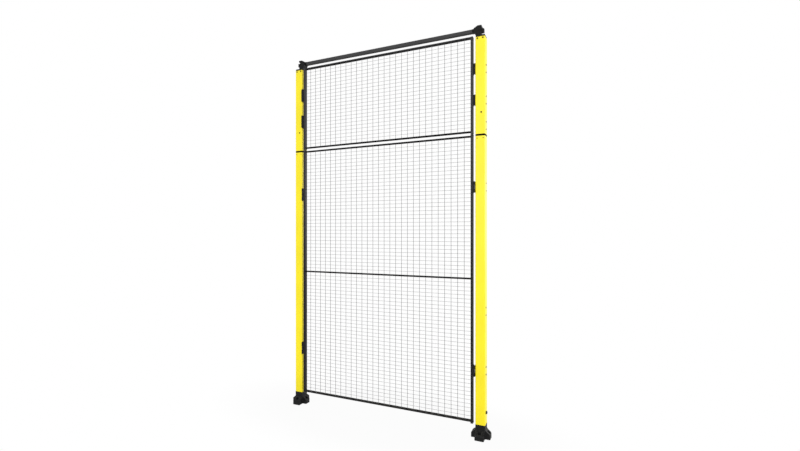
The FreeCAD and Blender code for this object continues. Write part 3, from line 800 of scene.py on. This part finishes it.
class GUARD_DOOR_OT_welds(bpy.types.Operator):
    """Lay rippled weld beads where the rails of the panels meet the stiles"""
    bl_idname = "guard_door.welds"
    bl_label = "Weld the frames"

    def execute(self, context):
        sizes = context.scene.guard_door_sizes
        builder = self.bead_builder()
        for panel, body, rails in (
            ("leaf", "leaf", (("bottom", 1), ("middle", -1), ("middle", 1), ("top", -1))),
            ("transom", "frame", (("bottom", 1), ("top", -1))),
        ):
            ends = []
            for rail, side in rails:
                low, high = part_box(f"{panel}_{rail}_rail")
                half = (sizes.middle_rail if rail == "middle" else high.z - low.z) / 2
                height = (low.z + high.z) / 2 + side * half
                for x in (low.x, high.x):
                    ends += [(x, low.y + sizes.bead, height), (x, high.y - sizes.bead, height)]
            lines = bpy.data.meshes.new(f"{panel}_beads")
            lines.from_pydata(ends, [(index, index + 1) for index in range(0, len(ends), 2)], [])
            thing = builder.piece(f"{panel}_weld_beads", finishes()["frame_grey"], {
                "Width": sizes.bead, "Step": sizes.bead_step}, lines)
            finish_piece(thing, body)
        return {"FINISHED"}

    def bead_builder(self):
        """Overlapping ripples along every edge of the start mesh."""
        builder = Builder("Weld beads", {"Width": "Float", "Step": "Float"})
        given = builder.given
        line = builder.make("GeometryNodeMeshToCurve", None, {0: given["Geometry"]})
        points = builder.make("GeometryNodeResampleCurve", {"mode": "LENGTH"}, {
            "Curve": line, "Length": given["Step"]})
        ripple = builder.make("GeometryNodeMeshUVSphere", None, {
            "Segments": 12, "Rings": 8, "Radius": builder.signal("Width") * 0.5})
        ripple = builder.make("GeometryNodeTransform", None, {"Geometry": ripple, "Scale": (1.0, 0.5, 1.0)})
        ripple = builder.make("GeometryNodeSetShadeSmooth", None, {"Geometry": ripple})
        builder.close(builder.copies(points, ripple))
        return builder


class GUARD_DOOR_OT_post_screws(bpy.types.Operator):
    """Set the screws and bolts of the posts, and plug their spare holes"""
    bl_idname = "guard_door.post_screws"
    bl_label = "Screw the posts"

    def execute(self, context):
        sizes = context.scene.guard_door_sizes
        screws = []
        joiner_screws = []
        plugs = []
        clamps = []
        for post, outward in POSTS:
            axis = middle(f"{post}_upper_tube").x
            low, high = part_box(f"{post}_upper_tube")
            foot, lower_top = (corner.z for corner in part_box(f"{post}_lower_tube"))
            under_top = high.z - TOP_SCREW_DROP
            under_joiner = lower_top - JOINER_SCREW_DROP
            for face, y in ((FRONT, low.y), (BACK, high.y)):
                for side in (-1, 1):
                    screws.append(((axis + side * TOP_SCREW_ASIDE, y, under_top), face))
                    joiner_screws.append(((axis + side * JOINER_SCREW_ASIDE, y, under_joiner), face))
            screws.append(((axis + FACE_SCREW_ASIDE, low.y, low.z + FACE_SCREW_RISE), FRONT))
            outer = high.x if outward > 0 else low.x
            facing = (outward, 0, 0)
            heights = [low.z + rise for rise in SIDE_SCREW_RISES]
            for centre in self.fitting_heights():
                heights += [centre - PAIR_HALF, centre + PAIR_HALF]
            screws += [((outer, 0.0, z), facing) for z in heights]
            pair = foot + PLUG_PAIR_RISE
            plugs += [((outer, 0.0, pair + rise), facing) for rise in (-PAIR_HALF, PAIR_HALF)]
            clamps.append(((outer, 0.0, foot + CLAMP_BOLT_RISE), facing))
        fasten("post_screws", socket_head("post_screw"), sizes.post_screw, screws, "frame", seed=3)
        fasten("joiner_screws", socket_head("joiner_screw"), sizes.joiner_screw, joiner_screws, "frame",
               seed=29)
        fasten("post_hole_plugs", domed_cap("hole_plug"), sizes.hole_plug, plugs, "frame", seed=19,
               coat="plug_black")
        fasten("post_clamp_bolts", hexagon_bolt("clamp_bolt"), sizes.clamp_bolt, clamps, "frame", seed=23)
        return {"FINISHED"}

    def fitting_heights(self):
        """The middles of the hinges and of the transom's clips."""
        low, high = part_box("transom_hinge_side_clips")
        clips = [low.z + HINGE_HALF, high.z - HINGE_HALF]
        return [middle(f"{level}_hinge_post_half").z for level in ("lower", "upper")] + clips


class GUARD_DOOR_OT_plate_screws(bpy.types.Operator):
    """Set the screws that hold the plates of the hinges, catches and clips"""
    bl_idname = "guard_door.plate_screws"
    bl_label = "Screw the fittings"

    def execute(self, context):
        sizes = context.scene.guard_door_sizes
        on_frame = []
        on_leaf = []
        for level in ("lower", "upper"):
            low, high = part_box(f"{level}_hinge_post_half")
            heights = [(low.z + high.z) / 2 + side * PAIR_HALF for side in (-1, 1)]
            hinge_plate = high.x - FITTING_PLATE
            catch_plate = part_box(f"{level}_catch_jaws")[0].x + FITTING_PLATE
            on_frame += [((hinge_plate, 0.0, z), (-1, 0, 0)) for z in heights]
            on_frame += [((catch_plate, 0.0, z), (1, 0, 0)) for z in heights]
            low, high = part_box(f"{level}_hinge_leaf_half")
            depth = high.y - LEAF_HALF_SCREW_INSET
            on_leaf += [((low.x + FITTING_PLATE, depth, z), (1, 0, 0)) for z in heights]
            low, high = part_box(f"{level}_catch_nose")
            depth = high.y - NOSE_SCREW_INSET
            on_leaf.append(((high.x - FITTING_PLATE, depth, (low.z + high.z) / 2), (-1, 0, 0)))
        for side, outward, half in (("hinge", 1, HINGE_HALF), ("closing", -1, CATCH_HALF)):
            low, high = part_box(f"transom_{side}_side_clips")
            plate = high.x - FITTING_PLATE if outward > 0 else low.x + FITTING_PLATE
            stile = low.x + FITTING_PLATE if outward > 0 else high.x - FITTING_PLATE
            for centre in (low.z + half, high.z - half):
                for rise in (-PAIR_HALF, PAIR_HALF):
                    on_frame.append(((plate, 0.0, centre + rise), (-outward, 0, 0)))
                    on_frame.append(((stile, CLIP_SCREW_DEPTH, centre + rise), (outward, 0, 0)))
        head = "plate_screw"
        fasten("frame_plate_screws", socket_head(head), sizes.plate_screw, on_frame, "frame", seed=5)
        fasten("leaf_plate_screws", socket_head(head), sizes.plate_screw, on_leaf, "leaf", seed=7)
        return {"FINISHED"}


class GUARD_DOOR_OT_bracket_bolts(bpy.types.Operator):
    """Set the pivot bolts of the top brackets and the screws that hold the rail"""
    bl_idname = "guard_door.bracket_bolts"
    bl_label = "Bolt the brackets"

    def execute(self, context):
        sizes = context.scene.guard_door_sizes
        level = middle("top_rail").z
        spots = []
        for post, outward in POSTS:
            axis = middle(f"{post}_upper_tube").x
            pivot = axis - outward * PIVOT_BOLT_ASIDE
            rail_end = axis - outward * RAIL_SCREW_ASIDE
            for face, way in ((FRONT, -1), (BACK, 1)):
                spots.append(((pivot, way * PIVOT_BOLT_DEPTH, level - PIVOT_BOLT_DROP), face))
                spots.append(((rail_end, way * RAIL_SCREW_DEPTH, level), face))
        fasten("bracket_bolts", socket_head("pivot_bolt"), sizes.pivot_bolt, spots, "frame", seed=11)
        return {"FINISHED"}


class GUARD_DOOR_OT_anchors(bpy.types.Operator):
    """Set the floor anchors in the seats of the feet"""
    bl_idname = "guard_door.anchors"
    bl_label = "Anchor the feet"

    def execute(self, context):
        sizes = context.scene.guard_door_sizes
        spots = []
        for post, outward in POSTS:
            axis = middle(f"{post}_foot").x
            for across, along in ((1, 0), (0, 1), (-1, 0), (0, -1)):
                spots.append(((axis + across * ANCHOR_RADIUS, along * ANCHOR_RADIUS, ANCHOR_SEAT), UP))
        fasten("floor_anchors", hexagon_bolt("anchor"), sizes.anchor_head, spots, "frame", seed=13)
        return {"FINISHED"}


class GUARD_DOOR_OT_pin_caps(bpy.types.Operator):
    """Cap both ends of the hinge pins"""
    bl_idname = "guard_door.pin_caps"
    bl_label = "Cap the hinge pins"

    def execute(self, context):
        sizes = context.scene.guard_door_sizes
        axis = Vector(frame["joints"][0]["pos_m"])
        spots = []
        for level in ("lower", "upper"):
            low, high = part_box(f"{level}_hinge_post_half")
            spots.append(((axis.x, axis.y, high.z), UP))
            spots.append(((axis.x, axis.y, low.z), DOWN))
        fasten("hinge_pin_caps", domed_cap("pin_cap"), sizes.pin_cap, spots, "frame", seed=17)
        return {"FINISHED"}


class GUARD_DOOR_OT_caps(bpy.types.Operator):
    """Close the open ends of the stiles with moulded caps"""
    bl_idname = "guard_door.caps"
    bl_label = "Cap the stiles"

    # A cap pushed into the tube, in steps of (inset from its faces, rise past its end), from the inside out
    PLUG = (
        (0.0025, -0.012), (0.0017, -0.002), (0.0017, 0.0), (0.0003, 0.0), (0.0, 0.0005), (0.0, 0.0014),
        (0.0006, 0.002), (0.004, 0.002), (0.0048, 0.0015),
    )

    def execute(self, context):
        sizes = context.scene.guard_door_sizes
        sleeve = self.sleeve(sizes.cap_skirt, sizes.cap_wall)
        for panel, body, top in (("leaf", "leaf", sleeve), ("transom", "frame", self.PLUG)):
            work = bmesh.new()
            for side in ("hinge", "closing"):
                low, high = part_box(f"{panel}_{side}_stile")
                self.add_cap(work, low, high, low.z, -1, sleeve)
                self.add_cap(work, low, high, high.z, 1, top)
            mesh = solid_mesh(f"{panel}_stile_caps", work)
            mesh.materials.append(finishes()["plug_black"])
            finish_piece(new_object(f"{panel}_stile_caps", mesh), body)
        return {"FINISHED"}

    def sleeve(self, skirt, wall):
        """The same steps for a cup over the end of the tube, with a dished end."""
        return (
            (-0.00005, 0.0), (-0.00005, -skirt), (-0.6 * wall, -skirt - 0.0002), (-wall, -skirt + 0.0003),
            (-wall, 0.0004), (-0.6 * wall, 0.0012), (0.0002, 0.0015), (0.004, 0.0015), (0.0046, 0.0011),
        )

    def add_cap(self, work, low, high, end, way, steps):
        """A closed solid through loops of a rounded rectangle."""
        loops = []
        for inset, rise in steps:
            radius = max(LEAST_CORNER, CAP_CORNER - inset)
            outline = rounded_corners(low.x + inset, low.y + inset, high.x - inset, high.y - inset, radius)
            loops.append([work.verts.new((x, y, end + way * rise)) for x, y in outline])
        skin(work, loops)


class GUARD_DOOR_OT_stage(bpy.types.Operator):
    """Set the pale floor, the even light and the camera"""
    bl_idname = "guard_door.stage"
    bl_label = "Set the stage"

    def execute(self, context):
        scene = context.scene
        light = scene.guard_door_light
        scene.view_settings.view_transform = "Standard"
        self.floor(scene.guard_door_colours.floor)
        self.sky(scene, light.sky)
        low, high = CAD_BOX
        aim = (low + high) / 2
        for name, (place, size) in LAMPS.items():
            self.lamp(f"{name}_lamp", getattr(light, name), Vector(place), aim, size)
        self.camera(scene, light)
        return {"FINISHED"}

    def seen(self, tree):
        """1 for rays that see the stage itself or its mirror image."""
        path = add_node(tree, "ShaderNodeLightPath").outputs
        total = Signal(tree, path["Is Camera Ray"]) + path["Is Glossy Ray"] + path["Is Transmission Ray"]
        total.socket.node.use_clamp = True
        return total

    def floor(self, shade):
        """A wide pale floor, white to the eye away from the object, that keeps the shadow near it."""
        mesh = bpy.data.meshes.new("floor")
        corners = [(x * FLOOR_REACH, y * FLOOR_REACH, 0) for x, y in ((-1, -1), (1, -1), (1, 1), (-1, 1))]
        mesh.from_pydata(corners, [], [(0, 1, 2, 3)])
        finish = Finish("pale_floor")
        finish.shader.inputs["Base Color"].default_value = opaque(tuple(shade))
        finish.shader.inputs["Roughness"].default_value = 0.9
        spread = finish.add("ShaderNodeVectorMath", {"operation": "MULTIPLY_ADD"},
                            {0: finish.place, 1: SHADOW_SCALE, 2: SHADOW_SHIFT})
        away = finish.add("ShaderNodeVectorMath", {"operation": "LENGTH"}, {0: spread.outputs[0]})
        outside = finish.ramp(Signal(finish.tree, away.outputs["Value"]), SHADOW_INNER, SHADOW_OUTER)
        share = FLOOR_WHITE + (1 - FLOOR_WHITE) * outside
        white = finish.add("ShaderNodeEmission", None, {"Color": WHITE, "Strength": 1.0})
        mixed = finish.add("ShaderNodeMixShader", None, {
            0: self.seen(finish.tree) * share, 1: finish.shader.outputs[0], 2: white.outputs[0]})
        feed(finish.tree, finish.output.inputs["Surface"], mixed.outputs[0])
        mesh.materials.append(finish.material)
        new_object("floor", mesh)

    def sky(self, scene, strength):
        """Even light from all sides, white to the eye."""
        world = bpy.data.worlds.new("Sky")
        scene.world = world
        world.use_nodes = True
        tree = world.node_tree
        tree.nodes.clear()
        lit = add_node(tree, "ShaderNodeBackground", None, {"Color": WHITE, "Strength": strength})
        white = add_node(tree, "ShaderNodeBackground", None, {"Color": WHITE, "Strength": 1.0})
        mixed = add_node(tree, "ShaderNodeMixShader", None, {
            0: self.seen(tree), 1: lit.outputs[0], 2: white.outputs[0]})
        add_node(tree, "ShaderNodeOutputWorld", None, {"Surface": mixed.outputs[0]})

    def lamp(self, name, power, place, aim, size):
        """A square soft lamp that looks at the object."""
        data = bpy.data.lights.new(name, "AREA")
        data.energy = power
        data.size = size
        thing = new_object(name, data)
        thing.location = place
        thing.rotation_euler = (aim - place).to_track_quat("-Z", "Y").to_euler()

    def camera(self, scene, light):
        """A level camera, turned towards the door."""
        lens = bpy.data.cameras.new("Camera")
        lens.lens = light.lens
        lens.sensor_width = SENSOR_WIDTH
        lens.shift_y = light.rise
        lens.clip_end = FAR_CLIP
        camera = new_object("Camera", lens)
        camera.location = light.camera_place
        camera.rotation_euler = (math.radians(90), 0.0, light.camera_turn)
        scene.camera = camera


OPERATORS = (
    GUARD_DOOR_OT_stage,
    GUARD_DOOR_OT_coats,
    GUARD_DOOR_OT_mesh,
    GUARD_DOOR_OT_middle_rail,
    GUARD_DOOR_OT_welds,
    GUARD_DOOR_OT_post_screws,
    GUARD_DOOR_OT_plate_screws,
    GUARD_DOOR_OT_bracket_bolts,
    GUARD_DOOR_OT_anchors,
    GUARD_DOOR_OT_pin_caps,
    GUARD_DOOR_OT_caps,
)
SETTINGS = (
    ("guard_door_sizes", GuardDoorSizes),
    ("guard_door_colours", GuardDoorColours),
    ("guard_door_light", GuardDoorLight),
)


class GUARD_DOOR_PT_panel(bpy.types.Panel):
    """Settings and steps of the guard door"""
    bl_idname = "GUARD_DOOR_PT_panel"
    bl_label = "Mesh guard door"
    bl_space_type = "VIEW_3D"
    bl_region_type = "UI"
    bl_category = "Guard door"

    def draw(self, context):
        for name, group in SETTINGS:
            box = self.layout.box()
            for key in group.__annotations__:
                box.prop(getattr(context.scene, name), key)
        for operator in OPERATORS:
            self.layout.operator(operator.bl_idname)


CLASSES = (*(group for name, group in SETTINGS), *OPERATORS, GUARD_DOOR_PT_panel)


def register():
    for item in CLASSES:
        bpy.utils.register_class(item)
    for name, group in SETTINGS:
        setattr(bpy.types.Scene, name, bpy.props.PointerProperty(type=group))


def unregister():
    for name, group in SETTINGS:
        delattr(bpy.types.Scene, name)
    for item in reversed(CLASSES):
        bpy.utils.unregister_class(item)


def main():
    register()
    for operator in OPERATORS:
        family, step = operator.bl_idname.split(".")
        getattr(getattr(bpy.ops, family), step)()


if __name__ == "__main__":
    main()
